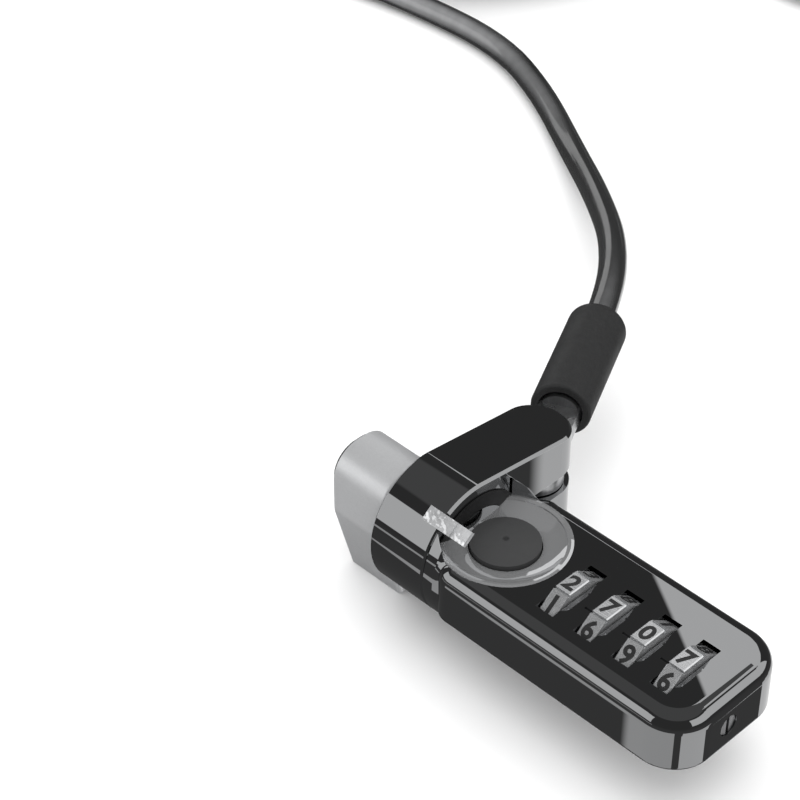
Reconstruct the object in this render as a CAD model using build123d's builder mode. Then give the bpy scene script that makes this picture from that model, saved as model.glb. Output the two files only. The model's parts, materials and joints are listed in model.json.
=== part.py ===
"""A slim four-dial laptop cable lock with its slot bracket and 1.8 m security cable.

Frame: the origin is on the lock's axis, at the bracket face that is fixed to the laptop.
+X runs along the lock from the bracket to the tail, +Y is the side that the cable arm
points to, and +Z is up, through the button and the dials. All sizes are in millimetres.
"""
import math
import os

from build123d import *

os.makedirs("parts", exist_ok=True)

# ---------------------------------------------------------------- driving dimensions
nose_diameter = 16.0          # collar and neck
bracket_depth = 8.0           # laptop face to bracket front
pad_thickness = 0.5
collar_length = 7.7
face_gap = 0.25               # bracket front to collar
seam_gap = 0.2                # collar to neck

body_length = 33.3            # slim body, without the neck
body_width = 16.8
body_thickness = 6.9
body_rise = 0.45              # middle of the body's thickness above the lock's axis
body_corner = 4.6             # tail corners, in plan
top_edge_radius = 1.9
bottom_edge_radius = 0.5
shoulder_corner = 2.2         # corners beside the neck, in plan
body_setback = 9.5            # bracket front to the slim body
wall = 0.9
cover_thickness = 0.6

arm_reach = 17.0              # lock axis to the end of the arm
arm_taper = 7.4               # degrees that each face of the arm slopes
slot_height = 2.4             # fork slot
tongue_thickness = 2.1
pin_diameter = 2.5

core_diameter = 9.6           # spigot that the collar turns on
core_neck_diameter = 7.0      # seat of the nose washer
washer_diameter = 12.0
washer_thickness = 0.9
tee_shaft_diameter = 2.4
tee_head_length = 6.0
tee_head_width = 2.4
tee_head_thickness = 1.4
slot_length = 6.6
slot_width = 3.0
slot_wall = 2.0
lock_pin_diameter = 1.3
lock_pin_offset = 2.25

button_diameter = 7.5
button_setback = 12.45        # bracket front to the button's axis
button_y = -0.3
button_travel = 1.6
bezel_diameter = 14.0
bezel_depth = 1.35

dial_count = 4
dial_pitch = 4.92
first_dial_setback = 22.25    # bracket front to the first dial
dial_axis_y = -1.05           # the dials stand a little nearer the plain long side
dial_radius = 5.25            # to the edges between facets
dial_width = 1.95
dial_facets = 10
window_width = 2.25
window_gap = 0.4              # dial edge to the curved ends of its window
spindle_diameter = 2.2
sleeve_wall = 0.8             # clutch sleeve inside each dial
spindle_shift = 0.8

reset_screw_diameter = 2.3
cable_diameter = 3.5
cable_length = 1800.0
boot_diameter = 7.0           # rubber sleeve on the cable end
boot_length = 16.6
boot_setback = 10.4           # fork pin to the sleeve's mouth
cable_bearing = 26.5          # degrees from +Y towards -X
ferrule_diameter = 5.2
ferrule_length = 10.0

running_fit = 0.06            # radial clearance of a shaft that turns
slip_fit = 0.12               # clearance of a part that slides in a pocket

# ---------------------------------------------------------------- derived places
nose_radius = nose_diameter / 2
front_x = bracket_depth
collar_x0 = front_x + face_gap
collar_x1 = collar_x0 + collar_length
neck_x0 = collar_x1 + seam_gap
body_x0 = front_x + body_setback
body_x1 = body_x0 + body_length
half_width = body_width / 2
body_top = body_rise + body_thickness / 2
body_bottom = body_rise - body_thickness / 2
button_x = front_x + button_setback
button_radius = button_diameter / 2
table_z = -10.7               # underside of the bracket, and the table
dial_places = [front_x + first_dial_setback + dial_pitch * i for i in range(dial_count)]
cavity_x0 = dial_places[0] - window_width / 2 - 1.0
cavity_x1 = dial_places[-1] + window_width / 2 + 1.0
cavity_half_width = dial_radius + 0.7
cavity_centre = ((cavity_x0 + cavity_x1) / 2, dial_axis_y)
cavity_top = body_top - wall
cavity_floor = body_bottom + cover_thickness
arm_centre_x = (collar_x0 + collar_x1) / 2
arm_end_radius = collar_length / 2
pin_y = arm_reach - arm_end_radius
bearing = math.radians(cable_bearing)
along = Vector(-math.sin(bearing), math.cos(bearing), 0)
pin_place = Vector(arm_centre_x, pin_y, 0)


def from_pin(distance):
    """A point on the cable end's centre line, measured from the fork pin."""
    return pin_place + along * distance


def keep(builder, label, colour):
    """Name a finished piece, colour it and write it."""
    builder.part.label = label
    builder.part.color = Color(*colour)
    export_step(builder.part, f"parts/{label}.step")


BLACK_NICKEL = (0.16, 0.16, 0.17)
STEEL = (0.66, 0.67, 0.69)
SATIN = (0.75, 0.75, 0.76)
RUBBER = (0.06, 0.06, 0.065)
CABLE = (0.13, 0.13, 0.14)
BUTTON_GREY = (0.20, 0.20, 0.21)
ALUMINIUM = (0.80, 0.80, 0.80)


# ---------------------------------------------------------------- bracket on the laptop
bracket_front_y = -5.6
bracket_back_y = 5.0
bracket_top_z = 6.4
bracket_top_y = 1.0           # back end of the flat top, before rounding
bracket_top_radius = 3.6
bracket_foot_y = -3.0         # front edge at the table
bracket_shoulder_z = 1.4      # where the rounded top begins
cavity_radius = 3.45


def bracket_side(inset=0.0):
    """Side view of the bracket: a post that leans in at the foot, with a round top."""
    corners = [
        (bracket_foot_y, table_z),
        (bracket_front_y, -bracket_shoulder_z),
        (bracket_front_y, bracket_top_z),
        (bracket_top_y, bracket_top_z),
        (bracket_back_y, -0.6),
        (bracket_back_y, table_z),
    ]
    with BuildSketch() as side:
        Polygon(*corners, align=None)
        upper = side.vertices().filter_by(lambda v: v.Y > bracket_shoulder_z)
        fillet(upper, radius=bracket_top_radius)
        knees = side.vertices().filter_by(lambda v: -2 < v.Y < 0 and abs(v.X) > 4.9)
        fillet(knees, radius=3.0)
        if inset > 0:
            offset(amount=-inset)
    return side.sketch


with BuildPart() as bracket_pad:
    with BuildSketch(Plane.YZ):
        add(bracket_side(0.5))
    extrude(amount=pad_thickness)
keep(bracket_pad, "bracket_pad", RUBBER)

with BuildPart() as slot_bracket:
    with BuildSketch(Plane.YZ.offset(pad_thickness)):
        add(bracket_side())
    extrude(amount=bracket_depth - pad_thickness)
    fillet(slot_bracket.faces().sort_by(Axis.X)[-1].edges(), radius=0.5)
    with BuildSketch(Plane.YZ.offset(front_x - slot_wall)):
        Circle(cavity_radius)
    extrude(amount=-3.2, mode=Mode.SUBTRACT)
    with BuildSketch(Plane.YZ.offset(front_x)):
        SlotOverall(slot_length, slot_width, rotation=90)
    extrude(amount=-slot_wall - 0.1, mode=Mode.SUBTRACT)
keep(slot_bracket, "slot_bracket", ALUMINIUM)


# ---------------------------------------------------------------- slim body with its neck
washer_x0 = front_x + 0.1
washer_x1 = washer_x0 + washer_thickness
bezel_radius = bezel_diameter / 2
bezel_base = body_top - bezel_depth
button_well_radius = button_radius + slip_fit
button_floor = cavity_floor
chamber_x0 = neck_x0 - 1.2
chamber_x1 = button_x - 1.4
chamber_top = 1.4
neck_corner = 1.9
index_mark = (1.2, 0.28)      # length and width
index_mark_y = -1.9
spindle_x0 = button_x + button_radius + 0.25
spindle_x1 = body_x1 - 4.2
reset_x0 = body_x1 - 2.6


def body_plan():
    """Plan of the slim body, with large tail corners and small ones beside the neck."""
    with BuildSketch() as plan:
        with Locations(((body_x0 + body_x1) / 2, 0)):
            Rectangle(body_length, body_width)
        tail = plan.vertices().group_by(Axis.X)[-1]
        fillet(tail, radius=body_corner)
        front = plan.vertices().group_by(Axis.X)[0]
        fillet(front, radius=shoulder_corner)
    return plan.sketch


with BuildPart() as body_shell:
    # slim bar
    with BuildSketch(Plane.XY.offset(body_bottom)):
        add(body_plan())
    extrude(amount=body_thickness)
    fillet(body_shell.faces().sort_by(Axis.Z)[-1].edges(), radius=top_edge_radius)
    fillet(body_shell.faces().sort_by(Axis.Z)[0].edges(), radius=bottom_edge_radius)
    # neck: round at the collar, blending down to the slim bar
    with BuildSketch(Plane.YZ.offset(neck_x0)):
        Circle(nose_radius)
    extrude(amount=1.3)
    with BuildSketch(Plane.YZ.offset(neck_x0 + 1.3)):
        Circle(nose_radius)
    with BuildSketch(Plane.YZ.offset(neck_x0 + 4.3)):
        with Locations((0, body_rise)):
            RectangleRounded(body_width - 1.2, body_thickness - 0.3, neck_corner)
    loft()
    # spigot for the collar and seat for the washer
    with BuildSketch(Plane.YZ.offset(washer_x1)):
        Circle(core_diameter / 2)
    extrude(amount=neck_x0 - washer_x1)
    with BuildSketch(Plane.YZ.offset(washer_x0)):
        Circle(core_neck_diameter / 2)
    extrude(amount=washer_thickness)
    # scoop above the button bezel
    with BuildSketch(Plane.XY.offset(bezel_base)):
        with Locations((button_x, button_y)):
            Circle(bezel_radius)
        with Locations((neck_x0 - 10, 0)):
            Rectangle(20, body_width, mode=Mode.SUBTRACT)
    extrude(amount=nose_radius, mode=Mode.SUBTRACT)
    # button well and the chamber for its rack
    with BuildSketch(Plane.XY.offset(button_floor)):
        with Locations((button_x, button_y)):
            Circle(button_well_radius)
    extrude(amount=body_thickness, mode=Mode.SUBTRACT)
    with BuildSketch(Plane.XY.offset(button_floor)):
        with Locations(((chamber_x0 + chamber_x1) / 2, 0.3)):
            Rectangle(chamber_x1 - chamber_x0, 3.6)
    extrude(amount=chamber_top - button_floor, mode=Mode.SUBTRACT)
    # bore for the tee shaft
    with BuildSketch(Plane.YZ.offset(washer_x0)):
        Circle(tee_shaft_diameter / 2 + running_fit)
    extrude(amount=chamber_x0 - washer_x0 + 0.1, mode=Mode.SUBTRACT)
    # bores for the two locking pins
    with BuildSketch(Plane.YZ.offset(washer_x0)):
        with Locations((0, lock_pin_offset), (0, -lock_pin_offset)):
            Circle(lock_pin_diameter / 2)
    extrude(amount=4.0, mode=Mode.SUBTRACT)
    # dial cavity, open below for the cover
    with BuildSketch(Plane.XY.offset(body_bottom)):
        with Locations(cavity_centre):
            Rectangle(cavity_x1 - cavity_x0, 2 * cavity_half_width)
    extrude(amount=cavity_top - body_bottom, mode=Mode.SUBTRACT)
    with BuildSketch(Plane.XY.offset(body_bottom)):
        with Locations(cavity_centre):
            RectangleRounded(cavity_x1 - cavity_x0 + 3.0, 2 * cavity_half_width + 1.6, 1.0)
    extrude(amount=cover_thickness + 0.02, mode=Mode.SUBTRACT)
    # dial windows, curved about the spindle like the dials
    for dial_x in dial_places:
        with BuildSketch(Plane.YZ.offset(dial_x - window_width / 2)):
            with Locations((dial_axis_y, 0)):
                Circle(dial_radius + window_gap)
        extrude(amount=window_width, mode=Mode.SUBTRACT)
    # spindle bore and reset screw hole
    with BuildSketch(Plane.YZ.offset(button_x)):
        with Locations((dial_axis_y, 0)):
            Circle(spindle_diameter / 2 + running_fit)
    extrude(amount=body_x1 - 3.0 - button_x, mode=Mode.SUBTRACT)
    with BuildSketch(Plane.YZ.offset(body_x1)):
        with Locations((dial_axis_y, 0)):
            Circle(reset_screw_diameter / 2 + running_fit)
    extrude(amount=-3.0, mode=Mode.SUBTRACT)
    # index marks in front of the second to fourth windows
    with BuildSketch(Plane.XY.offset(body_top - 0.15)):
        mark_setback = (window_width + index_mark[0]) / 2 + 0.1
        with Locations(*[(x - mark_setback, index_mark_y) for x in dial_places[1:]]):
            Rectangle(*index_mark)
    extrude(amount=0.5, mode=Mode.SUBTRACT)
keep(body_shell, "body_shell", BLACK_NICKEL)

# ---------------------------------------------------------------- bottom cover
screw_places = [
    (end_x, dial_axis_y + side * 4.6)
    for end_x in (cavity_x0 - 0.75, cavity_x1 + 0.75)
    for side in (1, -1)
]
cover_screw_radius = 0.55
with BuildPart() as bottom_cover:
    with BuildSketch(Plane.XY.offset(body_bottom)):
        with Locations(cavity_centre):
            RectangleRounded(cavity_x1 - cavity_x0 + 2.8, 2 * cavity_half_width + 1.4, 0.9)
        with Locations(*screw_places):
            Circle(cover_screw_radius, mode=Mode.SUBTRACT)
    extrude(amount=cover_thickness)
    for dial_x in dial_places:
        with BuildSketch(Plane.YZ.offset(dial_x - window_width / 2)):
            with Locations((dial_axis_y, 0)):
                Circle(dial_radius + window_gap)
        extrude(amount=window_width, mode=Mode.SUBTRACT)
keep(bottom_cover, "bottom_cover", BLACK_NICKEL)

with BuildPart() as cover_screws:
    for x, y in screw_places:
        with BuildSketch(Plane.XY.offset(body_bottom)):
            with Locations((x, y)):
                Circle(cover_screw_radius)
        extrude(amount=cover_thickness)
        with BuildSketch(Plane.XY.offset(body_bottom)):
            with Locations((x, y)):
                Rectangle(2 * cover_screw_radius, 0.16)
        extrude(amount=0.2, mode=Mode.SUBTRACT)
keep(cover_screws, "cover_screws", STEEL)

# ---------------------------------------------------------------- lock head
with BuildPart() as nose_washer:
    with BuildSketch(Plane.YZ.offset(washer_x0)):
        Circle(washer_diameter / 2)
        Circle(core_neck_diameter / 2, mode=Mode.SUBTRACT)
    extrude(amount=washer_thickness)
keep(nose_washer, "nose_washer", STEEL)

with BuildPart() as locking_pins:
    with BuildSketch(Plane.YZ.offset(front_x - slot_wall + 0.2)):
        with Locations((0, lock_pin_offset), (0, -lock_pin_offset)):
            Circle(lock_pin_diameter / 2)
    extrude(amount=washer_x0 + 4.0 - front_x + slot_wall - 0.2)
keep(locking_pins, "locking_pins", STEEL)

tee_head_x0 = front_x - slot_wall - 0.2 - tee_head_thickness
tee_end_x = chamber_x1 - 0.2
pinion_radius = button_travel / (math.pi / 2)
pinion_root = 0.72
with BuildPart() as tee_bar:
    with BuildSketch(Plane.YZ.offset(tee_head_x0)):
        Rectangle(tee_head_length, tee_head_width)
    extrude(amount=tee_head_thickness)
    with BuildSketch(Plane.YZ.offset(tee_head_x0)):
        Circle(tee_shaft_diameter / 2)
    extrude(amount=chamber_x0 + 0.3 - tee_head_x0)
    with BuildSketch(Plane.YZ.offset(chamber_x0 + 0.3)):
        Circle(pinion_root)
        with PolarLocations(pinion_root, 8):
            Rectangle(0.34, 0.26)
    extrude(amount=tee_end_x - chamber_x0 - 0.3)
keep(tee_bar, "tee_bar", STEEL)

# ---------------------------------------------------------------- swivel collar with the fork
slope = math.radians(arm_taper)
arm_end_half = nose_radius * math.cos(slope) - (arm_reach - nose_radius * math.sin(slope)) * math.tan(slope)
pin_depth = arm_end_half - 1.3
with BuildPart() as swivel_collar:
    with BuildSketch(Plane.YZ.offset(collar_x0)):
        Circle(nose_radius)
        tangent = (nose_radius * math.sin(slope), nose_radius * math.cos(slope))
        Polygon(
            (tangent[0], -tangent[1]),
            (arm_reach, -arm_end_half),
            (arm_reach, arm_end_half),
            tangent,
            align=None,
        )
    extrude(amount=collar_length)
    with BuildSketch(Plane.XY.offset(-nose_radius - 1)):
        with Locations((arm_centre_x, (pin_y - nose_radius) / 2)):
            Rectangle(collar_length, pin_y + nose_radius)
        with Locations((arm_centre_x, pin_y)):
            Circle(arm_end_radius)
    extrude(amount=nose_diameter + 2, mode=Mode.INTERSECT)
    rim = swivel_collar.edges().filter_by(lambda e: e.center().Y > -nose_radius - 1)
    rim = rim.filter_by(lambda e: abs(e.center().Z) > 0.1 or e.center().Y < 0)
    chamfer(rim, length=0.28)
    with BuildSketch(Plane.XY.offset(-slot_height / 2)):
        with Locations((arm_centre_x, nose_radius + 0.9 + arm_reach / 2)):
            Rectangle(collar_length + 2, arm_reach)
    extrude(amount=slot_height, mode=Mode.SUBTRACT)
    with BuildSketch(Plane.YZ.offset(collar_x0)):
        Circle(core_diameter / 2 + running_fit)
    extrude(amount=collar_length, mode=Mode.SUBTRACT)
    with BuildSketch(Plane.YZ.offset(collar_x0)):
        Circle(washer_diameter / 2 + slip_fit)
    extrude(amount=washer_x1 - collar_x0 + 0.12, mode=Mode.SUBTRACT)
    with BuildSketch(Plane.XY.offset(-nose_radius)):
        with Locations((arm_centre_x, pin_y)):
            Circle(pin_diameter / 2)
    extrude(amount=nose_radius + pin_depth, mode=Mode.SUBTRACT)
keep(swivel_collar, "swivel_collar", BLACK_NICKEL)

with BuildPart() as fork_pin:
    with BuildSketch(Plane.XY.offset(-arm_end_half - 0.05)):
        with Locations((arm_centre_x, pin_y)):
            Circle(pin_diameter / 2)
    extrude(amount=arm_end_half + 0.05 + pin_depth)
keep(fork_pin, "fork_pin", STEEL)

# ---------------------------------------------------------------- tongue, ferrule and rubber sleeve
tongue_width = 4.6
eye_radius = 3.3
shank_start = boot_setback - 0.4
ferrule_start = boot_setback + 1.0
ferrule_end = ferrule_start + ferrule_length
shank_end = ferrule_start + 4.5
tongue_plane = Plane(origin=pin_place, x_dir=along, z_dir=(0, 0, 1))


def cable_plane(distance):
    """The section plane of the cable end at a distance from the fork pin."""
    return Plane(origin=from_pin(distance), z_dir=along)


with BuildPart() as cable_tongue:
    with BuildSketch(tongue_plane.offset(-tongue_thickness / 2)):
        Circle(eye_radius)
        with Locations((shank_start / 2 + 0.6, 0)):
            Rectangle(shank_start + 1.2, tongue_width)
    extrude(amount=tongue_thickness)
    with BuildSketch(cable_plane(shank_start)):
        Circle(tongue_width / 2)
    extrude(amount=ferrule_start - shank_start)
    with BuildSketch(cable_plane(ferrule_start)):
        Circle(cable_diameter / 2)
    extrude(amount=shank_end - ferrule_start)
    with BuildSketch(tongue_plane.offset(-tongue_thickness)):
        Circle(pin_diameter / 2 + running_fit)
    extrude(amount=2 * tongue_thickness, mode=Mode.SUBTRACT)
keep(cable_tongue, "cable_tongue", STEEL)

with BuildPart() as crimp_ferrule:
    with BuildSketch(cable_plane(ferrule_start)):
        Circle(ferrule_diameter / 2)
        Circle(cable_diameter / 2, mode=Mode.SUBTRACT)
    extrude(amount=ferrule_length)
keep(crimp_ferrule, "crimp_ferrule", STEEL)

boot_end = boot_setback + boot_length
with BuildPart() as rubber_sleeve:
    with BuildSketch(cable_plane(boot_setback)):
        Circle(boot_diameter / 2)
    extrude(amount=boot_length)
    fillet(rubber_sleeve.edges().filter_by(GeomType.CIRCLE).sort_by(Axis.Y)[-1], radius=1.2)
    fillet(rubber_sleeve.edges().filter_by(GeomType.CIRCLE).sort_by(Axis.Y)[0], radius=0.35)
    with BuildSketch(cable_plane(boot_setback)):
        Circle(ferrule_diameter / 2)
    extrude(amount=ferrule_end - boot_setback, mode=Mode.SUBTRACT)
    with BuildSketch(cable_plane(ferrule_end - 0.1)):
        Circle(cable_diameter / 2)
    extrude(amount=boot_end - ferrule_end + 0.2, mode=Mode.SUBTRACT)
keep(rubber_sleeve, "rubber_sleeve", RUBBER)

# ---------------------------------------------------------------- cable, coil and end loop
cable_radius = cable_diameter / 2
coil_tie_thickness = 0.6
coil_base = table_z + coil_tie_thickness
coil_mean_radius = 19.3
coil_layers = 4
coil_turns_across = 4
coil_section = (coil_turns_across * cable_diameter, coil_layers * cable_diameter)
coil_centre = Vector(-91.0, 110.0, 0)
coil_outer_radius = coil_mean_radius + coil_section[0] / 2
outer_turn_radius = coil_outer_radius + cable_radius
cable_rest = table_z + cable_radius

lead_route = [
    tuple(from_pin(shank_end)),
    tuple(from_pin(30.0)),
    (-10.4, 52.4, -2.2),
    (-22.5, 62.8, -5.6),
    (-35.0, 72.0, cable_rest + 0.1),
    (-47.5, 79.7, cable_rest),
    (-60.5, 84.9, cable_rest),
    (coil_centre.X + 14.0, coil_centre.Y - outer_turn_radius + 2.6, cable_rest),
    (coil_centre.X, coil_centre.Y - outer_turn_radius, cable_rest + coil_tie_thickness),
]


def bend_radii(points):
    """The radius of each bend: as large as the two runs beside it allow."""
    radii = []
    for before, corner, after in zip(points, points[1:], points[2:]):
        arriving = Vector(*corner) - Vector(*before)
        leaving = Vector(*after) - Vector(*corner)
        turn = math.radians(arriving.get_angle(leaving))
        radii.append(0.45 * min(arriving.length, leaving.length) / math.tan(turn / 2))
    return radii


def cord_tube(points, diameter):
    """A round tube along straight runs joined by tangent arcs."""
    radii = bend_radii(points)
    with BuildPart() as tube:
        with BuildLine() as route:
            FilletPolyline(*points, radius=radii)
        start_plane = Plane(origin=route.wire() @ 0, z_dir=route.wire() % 0)
        with BuildSketch(start_plane):
            Circle(diameter / 2)
        sweep(path=route.wire())
    expected = route.wire().length * math.pi * diameter ** 2 / 4
    print("tube length", round(route.wire().length, 2), "volume ratio",
          round(tube.part.volume / expected, 4), "radii", [round(r, 1) for r in radii])
    return tube


cable_lead = cord_tube(lead_route, cable_diameter)
keep(cable_lead, "cable_lead", CABLE)

with BuildPart() as cable_coil:
    with BuildSketch(Plane.XZ):
        with Locations((coil_mean_radius, coil_base + coil_section[1] / 2)):
            RectangleRounded(coil_section[0], coil_section[1], cable_radius)
    revolve(axis=Axis.Z)
cable_coil.part.position = coil_centre
keep(cable_coil, "cable_coil", CABLE)

tie_width = 8.0
with BuildPart() as coil_tie:
    with BuildSketch(Plane.XZ.offset(-tie_width / 2)):
        with Locations((coil_mean_radius, coil_base + coil_section[1] / 2)):
            RectangleRounded(coil_section[0] + 3.4, coil_section[1] + 2 * coil_tie_thickness, 1.8)
            Rectangle(coil_section[0] + 2.2, coil_section[1], mode=Mode.SUBTRACT)
    extrude(amount=tie_width)
coil_tie.part.position = coil_centre
keep(coil_tie, "coil_tie", RUBBER)

end_crimp_size = (8.6, 5.2)    # oval crimp that holds both strands of the loop
end_crimp_length = 14.0
crimp_z = table_z + end_crimp_size[1] / 2
tail_y = coil_centre.Y + outer_turn_radius
crimp_x0 = coil_centre.X + 12.0
tail_route = [
    (coil_centre.X - 2.0, tail_y - 0.5, cable_rest + coil_tie_thickness),
    (coil_centre.X + 6.0, tail_y, crimp_z),
    (crimp_x0, tail_y, crimp_z),
]
cable_tail = cord_tube(tail_route, cable_diameter)
keep(cable_tail, "cable_tail", CABLE)

loop_x0 = crimp_x0 + end_crimp_length
strand_offset = end_crimp_size[0] / 2 - cable_radius - 0.6
loop_radius = 11.0
loop_length = 35.0
with BuildPart() as end_crimp:
    with BuildSketch(Plane.YZ.offset(crimp_x0)):
        with Locations((tail_y, crimp_z)):
            SlotOverall(*end_crimp_size)
    extrude(amount=end_crimp_length)
    fillet(end_crimp.edges().group_by(Axis.X)[0] + end_crimp.edges().group_by(Axis.X)[-1], radius=0.7)
keep(end_crimp, "end_crimp", STEEL)

loop_half = [
    (0.0, strand_offset),
    (9.0, strand_offset + 1.6),
    (loop_length - 1.4 * loop_radius, loop_radius),
    (loop_length - 0.6 * loop_radius, loop_radius),
    (loop_length, 0.42 * loop_radius),
]
loop_outline = loop_half + [(u, -v) for u, v in reversed(loop_half)]
loop_route = [(loop_x0 + u, tail_y + v, crimp_z) for u, v in loop_outline]
end_loop = cord_tube(loop_route, cable_diameter)
keep(end_loop, "end_loop", CABLE)

# ---------------------------------------------------------------- push button, rack and bezel
button_bottom = 0.9
button_rim = body_top - 0.25
button_crown = body_top + 0.2
spring_well_radius = 1.9
rack_width = 1.1
dome_height = button_crown - button_rim
dome_radius = (button_radius ** 2 + dome_height ** 2) / (2 * dome_height)
dome_middle = (
    button_radius / 2,
    button_crown - dome_radius + math.sqrt(dome_radius ** 2 - button_radius ** 2 / 4),
)
with BuildPart() as push_button:
    with BuildSketch(Plane.XZ):
        with BuildLine():
            Polyline((0, button_crown), (0, button_bottom), (button_radius, button_bottom),
                     (button_radius, button_rim))
            ThreePointArc((button_radius, button_rim), dome_middle, (0, button_crown))
        make_face()
    revolve(axis=Axis.Z)
    with BuildSketch(Plane.XY.offset(button_bottom)):
        Circle(spring_well_radius)
    extrude(amount=1.4, mode=Mode.SUBTRACT)
    with BuildSketch(Plane.XY.offset(button_bottom - 0.01)):
        with Locations((chamber_x1 - button_x - 1.2, -button_y)):
            Rectangle(2.6, 2 * pinion_radius)
    extrude(amount=button_travel + 0.2, mode=Mode.SUBTRACT)
    with BuildSketch(Plane.XY.offset(-0.6)):
        with Locations((chamber_x1 - button_x - 0.2 - rack_width / 2, pinion_radius + 0.4 - button_y)):
            Rectangle(rack_width, 0.7)
    extrude(amount=button_bottom + 0.7)
push_button.part.position = (button_x, button_y, 0)
keep(push_button, "push_button", BUTTON_GREY)

spring_wire = 0.34
spring_radius = 1.3
spring_base = button_floor + spring_wire / 2 + 0.02
spring_height = button_bottom + 1.4 - spring_base - spring_wire / 2 - 0.05
with BuildPart() as button_spring:
    with BuildLine() as coil_line:
        Helix(pitch=0.85, height=spring_height, radius=spring_radius, center=(button_x, button_y, spring_base))
    with BuildSketch(Plane(origin=coil_line.wire() @ 0, z_dir=coil_line.wire() % 0)):
        Circle(spring_wire / 2)
    sweep(path=coil_line.wire(), is_frenet=True)
keep(button_spring, "button_spring", STEEL)

with BuildPart() as button_bezel:
    with BuildSketch(Plane.XZ):
        with BuildLine():
            Polyline(
                (button_well_radius, bezel_base + 0.55),
                (button_well_radius, bezel_base),
                (bezel_radius, bezel_base),
                (bezel_radius, body_top),
                (bezel_radius - 0.3, body_top + 0.06),
                (bezel_radius - 0.62, body_top - 0.02),
                (bezel_radius - 0.7, body_top - 0.16),
            )
            ThreePointArc(
                (bezel_radius - 0.7, body_top - 0.16),
                ((bezel_radius + button_radius) / 2 - 0.2, body_top - 0.58),
                (button_well_radius, bezel_base + 0.55),
            )
        make_face()
    revolve(axis=Axis.Z)
    with BuildSketch(Plane.XY):
        with Locations((neck_x0 - button_x - 10, 0)):
            Rectangle(20, bezel_diameter + 2)
    extrude(amount=nose_radius, mode=Mode.SUBTRACT)
button_bezel.part.position = (button_x, button_y, 0)
keep(button_bezel, "button_bezel", STEEL)

# ---------------------------------------------------------------- dials and their clutch sleeves
sleeve_inner = spindle_diameter / 2 + running_fit
sleeve_outer = sleeve_inner + sleeve_wall
sleeve_overhang = 0.3
fin_gap = 0.2
for number, dial_x in enumerate(dial_places, start=1):
    dial_centre = (dial_axis_y, 0)
    with BuildPart() as dial_wheel:
        with BuildSketch(Plane.YZ.offset(dial_x - dial_width / 2)):
            with Locations(dial_centre):
                RegularPolygon(radius=dial_radius, side_count=dial_facets)
        extrude(amount=dial_width)
        ends = dial_wheel.edges().group_by(Axis.X)
        chamfer(ends[0] + ends[-1], length=0.12)
        with BuildSketch(Plane.YZ.offset(dial_x - dial_width / 2)):
            with Locations(dial_centre):
                Circle(sleeve_outer)
                with PolarLocations(dial_radius, dial_facets):
                    Rectangle(0.9, 0.28)
        extrude(amount=dial_width, mode=Mode.SUBTRACT)
    keep(dial_wheel, f"dial_wheel_{number}", SATIN)
    with BuildPart() as clutch_sleeve:
        sleeve_x0 = dial_x - dial_width / 2 - sleeve_overhang
        with BuildSketch(Plane.YZ.offset(sleeve_x0)):
            with Locations(dial_centre):
                Circle(sleeve_outer)
                Circle(sleeve_inner, mode=Mode.SUBTRACT)
        extrude(amount=dial_width + 2 * sleeve_overhang)
        with BuildSketch(Plane.YZ.offset(sleeve_x0)):
            with Locations((dial_axis_y, sleeve_outer)):
                Rectangle(0.6, 2 * sleeve_wall)
        extrude(amount=1.0, mode=Mode.SUBTRACT)
    keep(clutch_sleeve, f"clutch_sleeve_{number}", STEEL)

with BuildPart() as wheel_spindle:
    with BuildSketch(Plane.YZ.offset(spindle_x0)):
        with Locations((dial_axis_y, 0)):
            Circle(spindle_diameter / 2)
    extrude(amount=spindle_x1 - spindle_x0)
    for dial_x in dial_places[1:]:
        fin_x1 = dial_x - dial_width / 2 - sleeve_overhang - spindle_shift - fin_gap
        with BuildSketch(Plane.YZ.offset(fin_x1)):
            with Locations((dial_axis_y, spindle_diameter / 2 + 0.3)):
                Rectangle(0.45, 0.9)
        extrude(amount=-0.5)
keep(wheel_spindle, "wheel_spindle", STEEL)

strip_thickness = 0.16
strip_y = dial_axis_y + dial_radius + 0.22
strip_foot = 0.6              # width of each foot that stands on the cavity's wall
cavity_far_y = dial_axis_y + cavity_half_width
with BuildPart() as detent_spring:
    with BuildSketch(Plane.XY.offset(-1.5)):
        with Locations((cavity_centre[0], strip_y + strip_thickness / 2)):
            Rectangle(cavity_x1 - cavity_x0 - strip_foot, strip_thickness)
        ends_x = (cavity_x0 + strip_foot, cavity_x1 - strip_foot)
        with Locations(*[(x, (strip_y + cavity_far_y) / 2) for x in ends_x]):
            Rectangle(strip_foot, cavity_far_y - strip_y)
    extrude(amount=3.0)
    with BuildSketch(Plane.XY.offset(-0.5)):
        with Locations(*[(x, strip_y) for x in dial_places]):
            Circle(0.16)
    extrude(amount=1.0)
keep(detent_spring, "detent_spring", STEEL)

# ---------------------------------------------------------------- reset screw, thrust washer and lug
with BuildPart() as reset_screw:
    with BuildSketch(Plane.YZ.offset(reset_x0)):
        with Locations((dial_axis_y, 0)):
            Circle(reset_screw_diameter / 2)
    extrude(amount=body_x1 - 0.15 - reset_x0)
    with BuildSketch(Plane.YZ.offset(body_x1)):
        with Locations((dial_axis_y, 0)):
            Rectangle(0.42, reset_screw_diameter)
    extrude(amount=-0.75, mode=Mode.SUBTRACT)
keep(reset_screw, "reset_screw", STEEL)

with BuildPart() as thrust_washer:
    with BuildSketch(Plane.YZ.offset(neck_x0)):
        Circle(washer_diameter / 2 + 0.6)
        Circle(core_diameter / 2 + running_fit, mode=Mode.SUBTRACT)
    extrude(amount=-(seam_gap - 0.04))
keep(thrust_washer, "thrust_washer", RUBBER)

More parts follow.
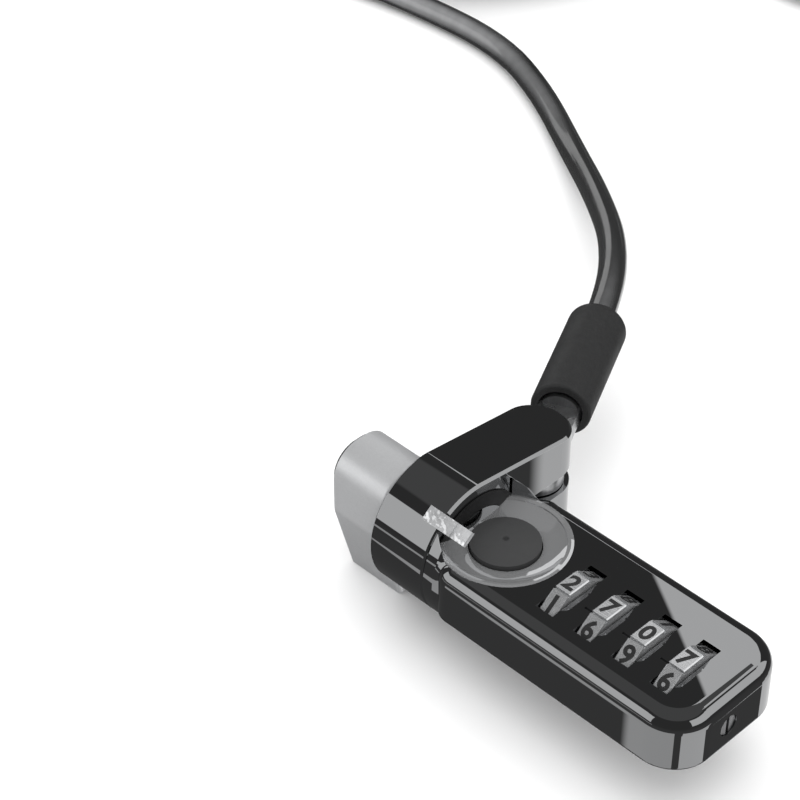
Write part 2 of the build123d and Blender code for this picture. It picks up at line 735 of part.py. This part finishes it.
lug_angle = 128.0
lug_width = 1.7
lug_rise = 0.85
lug_back = 1.75               # how far the lug reaches back over the collar
lug_front = 2.0               # and forward past the collar
lug_tip = 1.9
lug_plane = Plane(
    origin=(collar_x1, 0, 0),
    x_dir=(1, 0, 0),
    z_dir=(0, -math.sin(math.radians(lug_angle)), math.cos(math.radians(lug_angle))),
)
with BuildPart() as swivel_lug:
    with BuildSketch(lug_plane):
        with Locations(((lug_front - lug_back) / 2, nose_radius + 0.12 + lug_rise / 2)):
            Rectangle(lug_front + lug_back, lug_rise)
        with Locations((lug_front + lug_tip / 2, nose_radius + 0.16 + lug_rise * 0.35)):
            Rectangle(lug_tip, lug_rise * 0.7)
        with Locations((-lug_back / 2 - 0.1, nose_radius - 0.1)):
            Rectangle(lug_back - 0.4, 0.5)
    extrude(amount=lug_width / 2, both=True)
keep(swivel_lug, "swivel_lug", STEEL)
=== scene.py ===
"""Looks of the laptop cable lock: finishes, wound cable, dial digits, studio and camera.

Lengths are in metres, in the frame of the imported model. The origin is on the lock's axis,
at the bracket's laptop face. +X runs to the tail, +Y is the side of the cable arm, +Z is up.
"""
import json
import math

import bmesh
import bpy
from mathutils import Matrix, Vector


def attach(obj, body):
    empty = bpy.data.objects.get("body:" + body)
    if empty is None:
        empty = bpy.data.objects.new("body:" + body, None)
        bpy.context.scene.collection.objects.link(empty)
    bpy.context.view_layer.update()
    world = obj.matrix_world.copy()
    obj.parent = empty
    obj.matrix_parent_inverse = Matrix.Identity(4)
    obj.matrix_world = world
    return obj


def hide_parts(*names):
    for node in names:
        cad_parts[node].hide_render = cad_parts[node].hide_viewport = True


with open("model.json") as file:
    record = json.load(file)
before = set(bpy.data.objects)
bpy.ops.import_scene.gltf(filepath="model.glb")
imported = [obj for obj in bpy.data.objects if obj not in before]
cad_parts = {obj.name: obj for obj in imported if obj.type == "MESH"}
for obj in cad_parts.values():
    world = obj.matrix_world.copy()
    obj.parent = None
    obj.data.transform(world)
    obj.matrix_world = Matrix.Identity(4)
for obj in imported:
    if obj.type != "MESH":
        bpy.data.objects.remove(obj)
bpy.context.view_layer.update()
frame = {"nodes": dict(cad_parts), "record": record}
nodes = frame["nodes"]

MM = 0.001
SCENE = bpy.context.scene

# ---------------------------------------------------------------- driving values
CABLE_DIAMETER = 3.5 * MM
TABLE_Z = -10.7 * MM
COIL_CENTRE = Vector((-91.0, 110.0, 0.0)) * MM
COIL_OUTER = 24.55 * MM          # centre line of the outermost turn
COIL_INNER = 14.05 * MM
LEAD_RADIUS = 28.05 * MM         # where the cable meets the wound bundle
COIL_LAYERS = 4
TIE_THICKNESS = 0.6 * MM         # the tie lies under the coil and lifts it
POINTS_PER_TURN = 24
DIAL_AXIS_Y = -1.05 * MM
DIAL_RADIUS = 5.25 * MM
DIAL_PLACES = [(30.25 + 4.92 * i) * MM for i in range(4)]
FACETS = 10
BUTTON_CENTRE = Vector((20.45, -0.3, 4.1)) * MM


# ---------------------------------------------------------------- camera
def add_camera():
    """The camera stands in front of the tail, looking down along the lock."""
    data = bpy.data.cameras.new("camera")
    data.lens = 110.55
    data.sensor_width = 36.0
    data.clip_start = 0.01
    data.dof.use_dof = False
    camera = bpy.data.objects.new("camera", data)
    camera.location = (0.14363, -0.13789, 0.17517)
    aim = Vector((-0.0064, 0.01113, 0.0))
    camera.rotation_euler = (aim - camera.location).to_track_quat("-Z", "Y").to_euler()
    SCENE.collection.objects.link(camera)
    SCENE.camera = camera


add_camera()


# ---------------------------------------------------------------- cable
def round_curve(name, points, diameter):
    """A round cord along one open NURBS spline. Each point carries the cord's radius."""
    data = bpy.data.curves.new(name, "CURVE")
    data.dimensions = "3D"
    data.bevel_depth = 1.0
    data.bevel_resolution = 6
    data.resolution_u = 6
    data.use_fill_caps = True
    spline = data.splines.new("NURBS")
    spline.points.add(len(points) - 1)
    for knot, place in zip(spline.points, points):
        knot.co = (*place, 1.0)
        knot.radius = diameter / 2
    spline.order_u = 3
    spline.use_endpoint_u = True
    obj = bpy.data.objects.new(name, data)
    SCENE.collection.objects.link(obj)
    return obj


def coil_points():
    """Flat spirals in layers: in, out, in and out again, then down the outside to the table."""
    low = TABLE_Z + TIE_THICKNESS + CABLE_DIAMETER / 2
    turns_across = (COIL_OUTER - COIL_INNER) / CABLE_DIAMETER
    # each stage: turns, radius and height at its end
    stages = [(1 / 3, COIL_OUTER, low)]
    for layer in range(COIL_LAYERS):
        height = low + layer * CABLE_DIAMETER
        radius = COIL_INNER if layer % 2 == 0 else COIL_OUTER
        stages.append((turns_across, radius, height))
        if layer < COIL_LAYERS - 1:
            stages.append((1 / 4, radius, height + CABLE_DIAMETER))
    whole = sum(stage[0] for stage in stages)
    stages.append((math.floor(whole) + 0.5 - whole, LEAD_RADIUS, low))
    angle = -math.pi / 2
    radius, height = LEAD_RADIUS, low
    points = []
    for turns, end_radius, end_height in stages:
        steps = max(6, round(turns * POINTS_PER_TURN))
        for step in range(1, steps + 1):
            share = step / steps
            turned = angle - share * turns * 2 * math.pi
            if radius > COIL_OUTER:         # joining: close in early
                eased = 1 - (1 - share) ** 2
            elif end_radius > COIL_OUTER:   # leaving: stay close until late
                eased = share ** 2
            else:
                eased = share
            r = radius + (end_radius - radius) * eased
            z = height + (end_height - height) * share
            points.append(COIL_CENTRE + Vector((r * math.cos(turned), r * math.sin(turned), z)))
        angle -= turns * 2 * math.pi
        radius, height = end_radius, end_height
    return points


def build_cable():
    """The whole cable: out of the sleeve, down to the table, round the coil, into the end crimp."""
    lead = [
        (5.006, 27.379, 0.0),
        (-1.286, 39.998, 0.0),
        (-10.4, 52.4, -2.2),
        (-22.5, 62.8, -5.6),
        (-35.0, 72.0, -8.85),
        (-47.5, 79.7, -8.95),
        (-60.5, 84.9, -8.95),
        (-77.0, 84.55, -8.95),
        (-91.0, 81.95, -8.35),
    ]
    tail = [(-85.0, 138.05, -8.1), (-79.0, 138.05, -8.1)]
    points = [Vector(p) * MM for p in lead] + coil_points() + [Vector(p) * MM for p in tail]
    cable = round_curve("cable", points, CABLE_DIAMETER)
    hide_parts("cable_lead", "cable_coil", "cable_tail")
    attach(cable, "cable_end")
    return cable


def build_loop():
    """The eye at the end of the cable, closed inside the crimp."""
    half = [(0.0, 1.95), (9.0, 3.55), (19.6, 11.0), (28.4, 11.0), (35.0, 4.62)]
    outline = half + [(u, -v) for u, v in reversed(half)]
    start = Vector((-65.0, 138.05, -8.1))
    points = [(start + Vector((u, v, 0.0))) * MM for u, v in outline]
    loop = round_curve("anchor_eye", points, CABLE_DIAMETER)
    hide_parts("end_loop")
    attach(loop, "cable_end")
    return loop


cable = build_cable()
eye = build_loop()


# ---------------------------------------------------------------- node helpers
def new_group(name, inputs, outputs):
    """A shader node group with float or vector sockets: (name, socket type, default)."""
    group = bpy.data.node_groups.new(name, "ShaderNodeTree")
    for label, kind, value in inputs:
        socket = group.interface.new_socket(label, in_out="INPUT", socket_type=kind)
        if value is not None:
            socket.default_value = value
    for label, kind in outputs:
        group.interface.new_socket(label, in_out="OUTPUT", socket_type=kind)
    return group, group.nodes.new("NodeGroupInput"), group.nodes.new("NodeGroupOutput")


def math_node(tree, operation, first, second=None, third=None):
    """A Math node fed by sockets or numbers."""
    node = tree.nodes.new("ShaderNodeMath")
    node.operation = operation
    for socket, value in zip(node.inputs, (first, second, third)):
        if value is None:
            continue
        if isinstance(value, (int, float)):
            socket.default_value = value
        else:
            tree.links.new(value, socket)
    return node.outputs[0]


def map_range(tree, value, from_low, from_high, to_low, to_high, smooth=False):
    """A Map Range node fed by sockets or numbers."""
    node = tree.nodes.new("ShaderNodeMapRange")
    node.interpolation_type = "SMOOTHSTEP" if smooth else "LINEAR"
    for label, given in (
        ("Value", value), ("From Min", from_low), ("From Max", from_high),
        ("To Min", to_low), ("To Max", to_high),
    ):
        if isinstance(given, (int, float)):
            node.inputs[label].default_value = given
        else:
            tree.links.new(given, node.inputs[label])
    return node.outputs["Result"]


def noise(tree, vector, scale, detail=3.0):
    """A Noise Texture's value."""
    node = tree.nodes.new("ShaderNodeTexNoise")
    node.inputs["Detail"].default_value = detail
    tree.links.new(vector, node.inputs["Vector"])
    if isinstance(scale, (int, float)):
        node.inputs["Scale"].default_value = scale
    else:
        tree.links.new(scale, node.inputs["Scale"])
    return node.outputs["Fac"]


# ---------------------------------------------------------------- shared effects
def make_smudge_group():
    """Soft handling smudges, and painted highlights on the bright steel: a value that drifts between
    Low and High.
    """
    group, given, out = new_group(
        "handling_marks_and_highlights",
        [("Vector", "NodeSocketVector", None), ("Scale", "NodeSocketFloat", 90.0),
         ("Low", "NodeSocketFloat", 0.03), ("High", "NodeSocketFloat", 0.08)],
        [("Value", "NodeSocketFloat")],
    )
    cloud = noise(group, given.outputs["Vector"], given.outputs["Scale"])
    value = map_range(group, cloud, 0.35, 0.7, given.outputs["Low"], given.outputs["High"], True)
    group.links.new(value, out.inputs["Value"])
    return group


def make_grain_group():
    """Fine even grain, as on blasted metal or moulded rubber: a height from 0 to 1."""
    group, given, out = new_group(
        "fine_grain",
        [("Vector", "NodeSocketVector", None), ("Scale", "NodeSocketFloat", 6000.0)],
        [("Height", "NodeSocketFloat")],
    )
    fine = noise(group, given.outputs["Vector"], given.outputs["Scale"], 2.0)
    broad = noise(group, given.outputs["Vector"], math_node(
        group, "MULTIPLY", given.outputs["Scale"], 0.3), 2.0)
    height = math_node(group, "MULTIPLY_ADD", broad, 0.4, math_node(group, "MULTIPLY", fine, 0.6))
    group.links.new(height, out.inputs["Height"])
    return group


def make_brushed_group():
    """Fine lines left by a tool: noise drawn out across the Squeeze vector's short axes."""
    group, given, out = new_group(
        "tool_lines",
        [("Vector", "NodeSocketVector", None), ("Squeeze", "NodeSocketVector", (1.0, 0.02, 0.02)),
         ("Scale", "NodeSocketFloat", 4000.0)],
        [("Height", "NodeSocketFloat")],
    )
    stretch = group.nodes.new("ShaderNodeVectorMath")
    stretch.operation = "MULTIPLY"
    group.links.new(given.outputs["Vector"], stretch.inputs[0])
    group.links.new(given.outputs["Squeeze"], stretch.inputs[1])
    lines = noise(group, stretch.outputs[0], given.outputs["Scale"])
    group.links.new(lines, out.inputs["Height"])
    return group


def make_edge_group():
    """Wear on corners: 1 where the surface bends within the Width, 0 on open faces."""
    group, given, out = new_group(
        "edge_wear",
        [("Width", "NodeSocketFloat", 0.0002), ("Vector", "NodeSocketVector", None)],
        [("Mask", "NodeSocketFloat")],
    )
    bevel = group.nodes.new("ShaderNodeBevel")
    bevel.samples = 4
    group.links.new(given.outputs["Width"], bevel.inputs["Radius"])
    geometry = group.nodes.new("ShaderNodeNewGeometry")
    dot = group.nodes.new("ShaderNodeVectorMath")
    dot.operation = "DOT_PRODUCT"
    group.links.new(bevel.outputs["Normal"], dot.inputs[0])
    group.links.new(geometry.outputs["Normal"], dot.inputs[1])
    bend = map_range(group, dot.outputs["Value"], 0.99, 0.86, 0.0, 1.0)
    broken = map_range(group, noise(group, given.outputs["Vector"], 1500.0), 0.35, 0.6, 0.3, 1.0)
    group.links.new(math_node(group, "MULTIPLY", bend, broken), out.inputs["Mask"])
    return group


SMUDGES_AND_HIGHLIGHTS = make_smudge_group()
GRAIN = make_grain_group()
TOOL_LINES = make_brushed_group()
EDGE_WEAR = make_edge_group()


# ---------------------------------------------------------------- material builder
class Finish:
    """One procedural material with a Principled BSDF and the shared effects."""

    def __init__(self, name, metallic=0.0, specular=0.5):
        self.material = bpy.data.materials.new(name)
        self.material.use_nodes = True
        self.tree = self.material.node_tree
        self.shader = self.tree.nodes["Principled BSDF"]
        self.shader.inputs["Metallic"].default_value = metallic
        self.shader.inputs["Specular IOR Level"].default_value = specular
        self.place = self.tree.nodes.new("ShaderNodeTexCoord").outputs["Object"]

    def group(self, group, **values):
        """Places a shared effect, with its Vector fed by the object's own coordinates."""
        node = self.tree.nodes.new("ShaderNodeGroup")
        node.node_tree = group
        for label, value in values.items():
            node.inputs[label].default_value = value
        if "Vector" in node.inputs:
            self.tree.links.new(self.place, node.inputs["Vector"])
        return node.outputs[0]

    def colour(self, mask, low, high):
        """Base Color that moves from low to high as the mask goes from 0 to 1."""
        mix = self.tree.nodes.new("ShaderNodeMix")
        mix.data_type = "RGBA"
        self.tree.links.new(mask, mix.inputs["Factor"])
        mix.inputs["A"].default_value = (*low, 1.0)
        mix.inputs["B"].default_value = (*high, 1.0)
        self.tree.links.new(mix.outputs["Result"], self.shader.inputs["Base Color"])

    def roughness(self, value):
        """Roughness that follows a value over the surface."""
        self.tree.links.new(value, self.shader.inputs["Roughness"])

    def bump(self, height, distance):
        """Relief: a height from 0 to 1 stands for this distance."""
        node = self.tree.nodes.new("ShaderNodeBump")
        node.inputs["Distance"].default_value = distance
        self.tree.links.new(height, node.inputs["Height"])
        self.tree.links.new(node.outputs["Normal"], self.shader.inputs["Normal"])


def grey(level):
    """A neutral colour with a trace of blue, as nickel and steel have."""
    return (level * 0.99, level, level * 1.015)


# ---------------------------------------------------------------- finishes
def black_nickel():
    """Mirror-polished black nickel plate, a little brighter where corners are worn."""
    finish = Finish("black_nickel_plate", metallic=1.0)
    wear = finish.group(EDGE_WEAR, Width=0.00012)
    finish.colour(wear, grey(0.36), grey(0.52))
    finish.roughness(finish.group(SMUDGES_AND_HIGHLIGHTS, Scale=110.0, Low=0.0, High=0.012))
    return finish.material


def dark_bezel():
    """Bright plate of the dished ring round the button, worn at its rim."""
    finish = Finish("dark_chrome_ring", metallic=0.75)
    wear = finish.group(EDGE_WEAR, Width=0.0001)
    finish.colour(wear, grey(0.54), grey(0.66))
    finish.roughness(finish.group(SMUDGES_AND_HIGHLIGHTS, Scale=160.0, Low=0.02, High=0.05))
    return finish.material


def polished_steel():
    """Bright steel of the lug and the fork pin, uneven as it came from the barrel, with painted
    highlights mottled into its colour.
    """
    finish = Finish("bright_steel", metallic=0.6)
    # painted highlights: the colour mottles between near white and grey, standing in for mottled
    # reflections
    painted_highlights = finish.group(SMUDGES_AND_HIGHLIGHTS, Scale=260.0, Low=0.0, High=1.0)
    finish.colour(painted_highlights, grey(0.95), grey(0.55))
    finish.roughness(finish.group(SMUDGES_AND_HIGHLIGHTS, Scale=420.0, Low=0.08, High=0.2))
    finish.bump(finish.group(GRAIN, Scale=620.0), 0.0005)
    return finish.material


def machined_steel():
    """Turned and stamped steel of the inner pieces."""
    finish = Finish("machined_steel", metallic=1.0)
    lines = finish.group(TOOL_LINES, Squeeze=(1.0, 0.06, 0.06), Scale=5200.0)
    finish.colour(lines, grey(0.42), grey(0.62))
    finish.roughness(finish.group(SMUDGES_AND_HIGHLIGHTS, Scale=300.0, Low=0.24, High=0.36))
    finish.bump(lines, 0.00002)
    return finish.material


def satin_dial():
    """Satin nickel with fine lines across each dial."""
    finish = Finish("satin_nickel_dial", metallic=0.8)
    lines = finish.group(TOOL_LINES, Squeeze=(0.03, 1.0, 1.0), Scale=5200.0)
    finish.colour(lines, grey(0.68), grey(0.82))
    finish.roughness(finish.group(SMUDGES_AND_HIGHLIGHTS, Scale=500.0, Low=0.16, High=0.26))
    finish.bump(lines, 0.000005)
    return finish.material


def button_plastic():
    """Matte grey moulding with a small dimple in its middle, coloured darker there as painted shade.
    """
    finish = Finish("button_grey_plastic", specular=0.35)
    tree = finish.tree
    offset = tree.nodes.new("ShaderNodeVectorMath")
    offset.operation = "DISTANCE"
    tree.links.new(finish.place, offset.inputs[0])
    offset.inputs[1].default_value = BUTTON_CENTRE
    dimple = map_range(tree, offset.outputs["Value"], 0.15 * MM, 0.45 * MM, 0.0, 1.0, True)
    # painted shade: the dimple in the middle is coloured darker than the rest of the button
    finish.colour(dimple, grey(0.022), grey(0.042))
    finish.roughness(finish.group(SMUDGES_AND_HIGHLIGHTS, Scale=700.0, Low=0.5, High=0.62))
    grain = finish.group(GRAIN, Scale=9000.0)
    finish.bump(math_node(tree, "MULTIPLY_ADD", grain, 0.12, dimple), 0.00009)
    return finish.material


def rubber():
    """Matte moulded rubber with a fine grain."""
    finish = Finish("moulded_rubber", specular=0.3)
    grain = finish.group(GRAIN, Scale=5200.0)
    finish.colour(grain, grey(0.014), grey(0.034))
    finish.roughness(finish.group(SMUDGES_AND_HIGHLIGHTS, Scale=240.0, Low=0.52, High=0.66))
    finish.bump(grain, 0.00005)
    return finish.material


def cable_jacket():
    """Smoky clear vinyl over laid steel rope: the rope shows grey where one looks straight in."""
    finish = Finish("vinyl_cable_jacket", metallic=0.0, specular=0.7)
    tree = finish.tree
    strands = finish.group(TOOL_LINES, Squeeze=(0.7, 0.7, 0.2), Scale=700.0)
    facing = tree.nodes.new("ShaderNodeLayerWeight")
    facing.inputs["Blend"].default_value = 0.5
    depth = map_range(tree, facing.outputs["Facing"], 0.12, 0.62, 1.0, 0.0, True)
    shown = math_node(tree, "MULTIPLY", depth, map_range(tree, strands, 0.3, 0.7, 0.8, 1.0))
    finish.colour(shown, grey(0.018), grey(0.26))
    finish.roughness(finish.group(SMUDGES_AND_HIGHLIGHTS, Scale=200.0, Low=0.14, High=0.22))
    finish.bump(strands, 0.000015)
    finish.shader.inputs["Coat Weight"].default_value = 0.6
    finish.shader.inputs["Coat Roughness"].default_value = 0.06
    return finish.material


def frosted_aluminium():
    """Bead-blasted anodised aluminium of the bracket."""
    finish = Finish("frosted_aluminium", metallic=0.65)
    grain = finish.group(GRAIN, Scale=8200.0)
    finish.colour(grain, grey(0.66), grey(0.8))
    finish.roughness(finish.group(SMUDGES_AND_HIGHLIGHTS, Scale=120.0, Low=0.36, High=0.44))
    finish.bump(grain, 0.000018)
    return finish.material


def pad_foam():
    """Closed-cell adhesive pad."""
    finish = Finish("adhesive_pad", specular=0.2)
    cells = finish.group(GRAIN, Scale=2600.0)
    finish.colour(cells, grey(0.02), grey(0.07))
    finish.roughness(finish.group(SMUDGES_AND_HIGHLIGHTS, Scale=300.0, Low=0.75, High=0.9))
    finish.bump(cells, 0.00012)
    return finish.material


def nylon():
    """Black nylon of the washer behind the collar."""
    finish = Finish("black_nylon", specular=0.3)
    finish.colour(finish.group(GRAIN, Scale=900.0), grey(0.010), grey(0.02))
    finish.roughness(finish.group(SMUDGES_AND_HIGHLIGHTS, Scale=300.0, Low=0.38, High=0.5))
    return finish.material


def tie_fabric():
    """Woven hook-and-loop tie."""
    finish = Finish("woven_tie", specular=0.2)
    tree = finish.tree
    weave = tree.nodes.new("ShaderNodeTexWave")
    weave.inputs["Scale"].default_value = 700.0
    weave.inputs["Distortion"].default_value = 1.2
    tree.links.new(finish.place, weave.inputs["Vector"])
    finish.colour(weave.outputs["Fac"], grey(0.012), grey(0.04))
    finish.roughness(finish.group(SMUDGES_AND_HIGHLIGHTS, Scale=400.0, Low=0.8, High=0.95))
    finish.bump(weave.outputs["Fac"], 0.00012)
    return finish.material


def digit_ink():
    """Dark enamel of the digits."""
    finish = Finish("digit_enamel", specular=0.5)
    finish.colour(finish.group(GRAIN, Scale=4000.0), grey(0.010), grey(0.028))
    finish.roughness(finish.group(SMUDGES_AND_HIGHLIGHTS, Scale=600.0, Low=0.3, High=0.45))
    return finish.material


FINISHES = {
    "black_nickel": black_nickel(),
    "dark_bezel": dark_bezel(),
    "polished_steel": polished_steel(),
    "machined_steel": machined_steel(),
    "satin_dial": satin_dial(),
    "button_grey": button_plastic(),
    "rubber_black": rubber(),
    "cable_jacket": cable_jacket(),
    "aluminium_frost": frosted_aluminium(),
    "pad_foam": pad_foam(),
    "nylon": nylon(),
    "tie_black": tie_fabric(),
}
INK = digit_ink()


def paint(obj, material):
    """The object's only material."""
    obj.data.materials.clear()
    obj.data.materials.append(material)


for part in frame["record"]["subparts"]:
    paint(nodes[part["node"]], FINISHES[part["material_slot"]])
for piece in (cable, eye):
    paint(piece, FINISHES["cable_jacket"])


# ---------------------------------------------------------------- dial digits
DIGIT_HEIGHT = 2.15 * MM
DIGIT_DEPTH = 0.05 * MM
DIGIT_BOLDNESS = 0.03            # outline offset, in units of the text size
SHOWN_CODE = (2, 7, 0, 7)        # digit on the top facet of each dial, nose to tail


def digit_mesh(digit):
    """One bold digit, centred at the origin in XY and reading along +X."""
    data = bpy.data.curves.new(f"digit_{digit}", "FONT")
    data.body = str(digit)
    data.size = 1.0
    data.align_x = "CENTER"
    data.offset = DIGIT_BOLDNESS
    data.extrude = 0.5
    data.resolution_u = 5
    text = bpy.data.objects.new(f"digit_{digit}", data)
    SCENE.collection.objects.link(text)
    bpy.context.view_layer.update()
    mesh = bpy.data.meshes.new_from_object(text)
    bpy.data.objects.remove(text)
    xs = [v.co.x for v in mesh.vertices]
    ys = [v.co.y for v in mesh.vertices]
    size = DIGIT_HEIGHT / (max(ys) - min(ys))
    centre = Vector(((max(xs) + min(xs)) / 2, (max(ys) + min(ys)) / 2, 0.0))
    mesh.transform(Matrix.Diagonal((size, size, DIGIT_DEPTH, 1.0)) @ Matrix.Translation(-centre))
    return mesh


def build_digits():
    """Ten digits on each dial, one on every facet, counting up towards +Y."""
    shapes = [digit_mesh(d) for d in range(10)]
    facet_distance = DIAL_RADIUS * math.cos(math.pi / FACETS)
    for index, (dial_x, shown) in enumerate(zip(DIAL_PLACES, SHOWN_CODE), start=1):
        shell = bmesh.new()
        for facet in range(FACETS):
            angle = math.pi / 2 - facet * 2 * math.pi / FACETS
            out = Vector((0.0, math.cos(angle), math.sin(angle)))
            up = Vector((0.0, math.sin(angle), -math.cos(angle)))
            centre = Vector((dial_x, DIAL_AXIS_Y, 0.0)) + out * facet_distance
            turn = Matrix((Vector((1.0, 0.0, 0.0)), up, out)).transposed().to_4x4()
            mesh = shapes[(shown + facet) % 10].copy()
            mesh.transform(Matrix.Translation(centre) @ turn)
            shell.from_mesh(mesh)
            bpy.data.meshes.remove(mesh)
        data = bpy.data.meshes.new(f"dial_digits_{index}")
        shell.to_mesh(data)
        shell.free()
        obj = bpy.data.objects.new(f"dial_digits_{index}", data)
        SCENE.collection.objects.link(obj)
        paint(obj, INK)
        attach(obj, f"dial_{index}")
    for mesh in shapes:
        bpy.data.meshes.remove(mesh)


build_digits()


# ---------------------------------------------------------------- studio
def make_panel_group():
    """One soft studio panel on the sky: azimuth and elevation of its middle, half sizes, lean."""
    group, given, out = new_group(
        "studio_panel",
        [("Direction", "NodeSocketVector", None), ("Azimuth", "NodeSocketFloat", 0.0),
         ("Half Width", "NodeSocketFloat", 0.5), ("Elevation", "NodeSocketFloat", 0.5),
         ("Half Height", "NodeSocketFloat", 0.3), ("Lean", "NodeSocketFloat", 0.0),
         ("Softness", "NodeSocketFloat", 0.01)],
        [("Mask", "NodeSocketFloat")],
    )
    turn = group.nodes.new("ShaderNodeVectorRotate")
    turn.rotation_type = "Z_AXIS"
    group.links.new(given.outputs["Direction"], turn.inputs["Vector"])
    group.links.new(math_node(group, "MULTIPLY", given.outputs["Azimuth"], -1.0), turn.inputs["Angle"])
    split = group.nodes.new("ShaderNodeSeparateXYZ")
    group.links.new(turn.outputs[0], split.inputs[0])
    azimuth = math_node(group, "ARCTAN2", split.outputs["Y"], split.outputs["X"])
    elevation = math_node(group, "SUBTRACT", math_node(group, "ARCSINE", split.outputs["Z"]),
                          given.outputs["Elevation"])
    shear = math_node(group, "MULTIPLY", elevation, given.outputs["Lean"])
    masks = []
    for value, half in (
        (math_node(group, "SUBTRACT", azimuth, shear), given.outputs["Half Width"]),
        (elevation, given.outputs["Half Height"]),
    ):
        distance = math_node(group, "SUBTRACT", math_node(group, "ABSOLUTE", value), half)
        low = math_node(group, "MULTIPLY", given.outputs["Softness"], -1.0)
        masks.append(map_range(group, distance, low, given.outputs["Softness"], 1.0, 0.0, True))
    group.links.new(math_node(group, "MULTIPLY", *masks), out.inputs["Mask"])
    return group


ROOM_LEVEL = 0.057
UNDER_LEVEL = 0.08
CEILING_LEVEL = 0.13
# each panel: azimuth, half width, elevation, half height, lean (degrees), softness, brightness
PANELS = (
    (93.7, 32.3, 44.8, 8.0, -0.79, 0.1, 0.95),        # behind the arm, seen in the body's top
    (-127.0, 26.0, 18.5, 17.5, 0.0, 0.4, 0.95),       # front left, seen along the near edges
    (-124.0, 26.0, -8.8, 1.3, 0.0, 0.3, 0.6),         # thin reflector under it
    (30.0, 40.0, 25.0, 17.0, 0.0, 0.4, 0.95),         # right, seen along the tail edge
    (160.0, 22.0, 15.0, 11.0, 0.0, 0.4, 0.95),        # left, seen in the dished ring
    (-87.3, 40.3, -46.0, 18.0, 0.0, 0.2, 0.62),       # floor reflector in front of the tail
    (2.5, 32.5, -46.0, 18.0, 0.0, 0.2, 0.8),          # the same, past a dark gap
    (100.0, 38.0, -42.0, 18.0, 0.0, 0.4, 0.9),        # floor reflector beyond the arm
    (93.5, 44.5, -35.0, 8.7, 0.0, 0.3, 0.9),          # its near part, seen in the arm's flank
)


def build_world():
    """Soft panels in a dim room for the polished faces, and white all round for the rest."""
    world = bpy.data.worlds.new("studio")
    SCENE.world = world
    world.use_nodes = True
    tree = world.node_tree
    tree.nodes.clear()
    out = tree.nodes.new("ShaderNodeOutputWorld")
    room = tree.nodes.new("ShaderNodeBackground")
    backdrop = tree.nodes.new("ShaderNodeBackground")
    backdrop.inputs["Color"].default_value = (1.0, 1.0, 1.0, 1.0)
    direction = tree.nodes.new("ShaderNodeTexCoord").outputs["Generated"]
    rise = tree.nodes.new("ShaderNodeSeparateXYZ")
    tree.links.new(direction, rise.inputs[0])
    height = rise.outputs["Z"]
    walls = map_range(tree, height, -0.25, 0.0, UNDER_LEVEL, ROOM_LEVEL)
    ceiling = map_range(tree, height, 0.72, 0.78, 0.0, CEILING_LEVEL, True)
    total = math_node(tree, "MAXIMUM", walls, ceiling)
    panel = make_panel_group()
    for azimuth, half_width, elevation, half_height, lean, softness, level in PANELS:
        node = tree.nodes.new("ShaderNodeGroup")
        node.node_tree = panel
        tree.links.new(direction, node.inputs["Direction"])
        for label, degrees in (("Azimuth", azimuth), ("Half Width", half_width),
                               ("Elevation", elevation), ("Half Height", half_height),
                               ("Softness", softness)):
            node.inputs[label].default_value = math.radians(degrees)
        node.inputs["Lean"].default_value = lean
        lit = math_node(tree, "MULTIPLY", node.outputs["Mask"], level)
        total = math_node(tree, "MAXIMUM", total, lit)
    tree.links.new(total, room.inputs["Color"])
    mix = tree.nodes.new("ShaderNodeMixShader")
    glossy = tree.nodes.new("ShaderNodeLightPath").outputs["Is Glossy Ray"]
    tree.links.new(glossy, mix.inputs[0])
    tree.links.new(backdrop.outputs[0], mix.inputs[1])
    tree.links.new(room.outputs[0], mix.inputs[2])
    tree.links.new(mix.outputs[0], out.inputs["Surface"])


def add_softbox(name, location, size, watts, aim=(0.0, 0.02, 0.0)):
    """A large soft light that glossy faces don't show, so that the panels alone shape them."""
    data = bpy.data.lights.new(name, "AREA")
    data.size = size
    data.energy = watts
    light = bpy.data.objects.new(name, data)
    light.location = location
    direction = Vector(aim) - light.location
    light.rotation_euler = direction.to_track_quat("-Z", "Y").to_euler()
    light.visible_glossy = False
    SCENE.collection.objects.link(light)


def build_floor():
    """A plain pale floor under the lock."""
    data = bpy.data.meshes.new("floor")
    shell = bmesh.new()
    bmesh.ops.create_grid(shell, x_segments=8, y_segments=8, size=3.0)
    shell.to_mesh(data)
    shell.free()
    floor = bpy.data.objects.new("floor", data)
    floor.location.z = TABLE_Z - 0.0001
    SCENE.collection.objects.link(floor)
    finish = Finish("pale_floor", specular=0.1)
    finish.colour(finish.group(GRAIN, Scale=60.0), (0.92, 0.92, 0.92), (0.95, 0.95, 0.95))
    finish.roughness(finish.group(SMUDGES_AND_HIGHLIGHTS, Scale=4.0, Low=0.8, High=0.95))
    paint(floor, finish.material)
    floor.visible_glossy = False


build_world()
add_softbox("overhead_softbox", (0.0, 0.0, 0.9), 1.2, 6.0)
build_floor()
SCENE.view_settings.view_transform = "Standard"

bpy.context.view_layer.update()
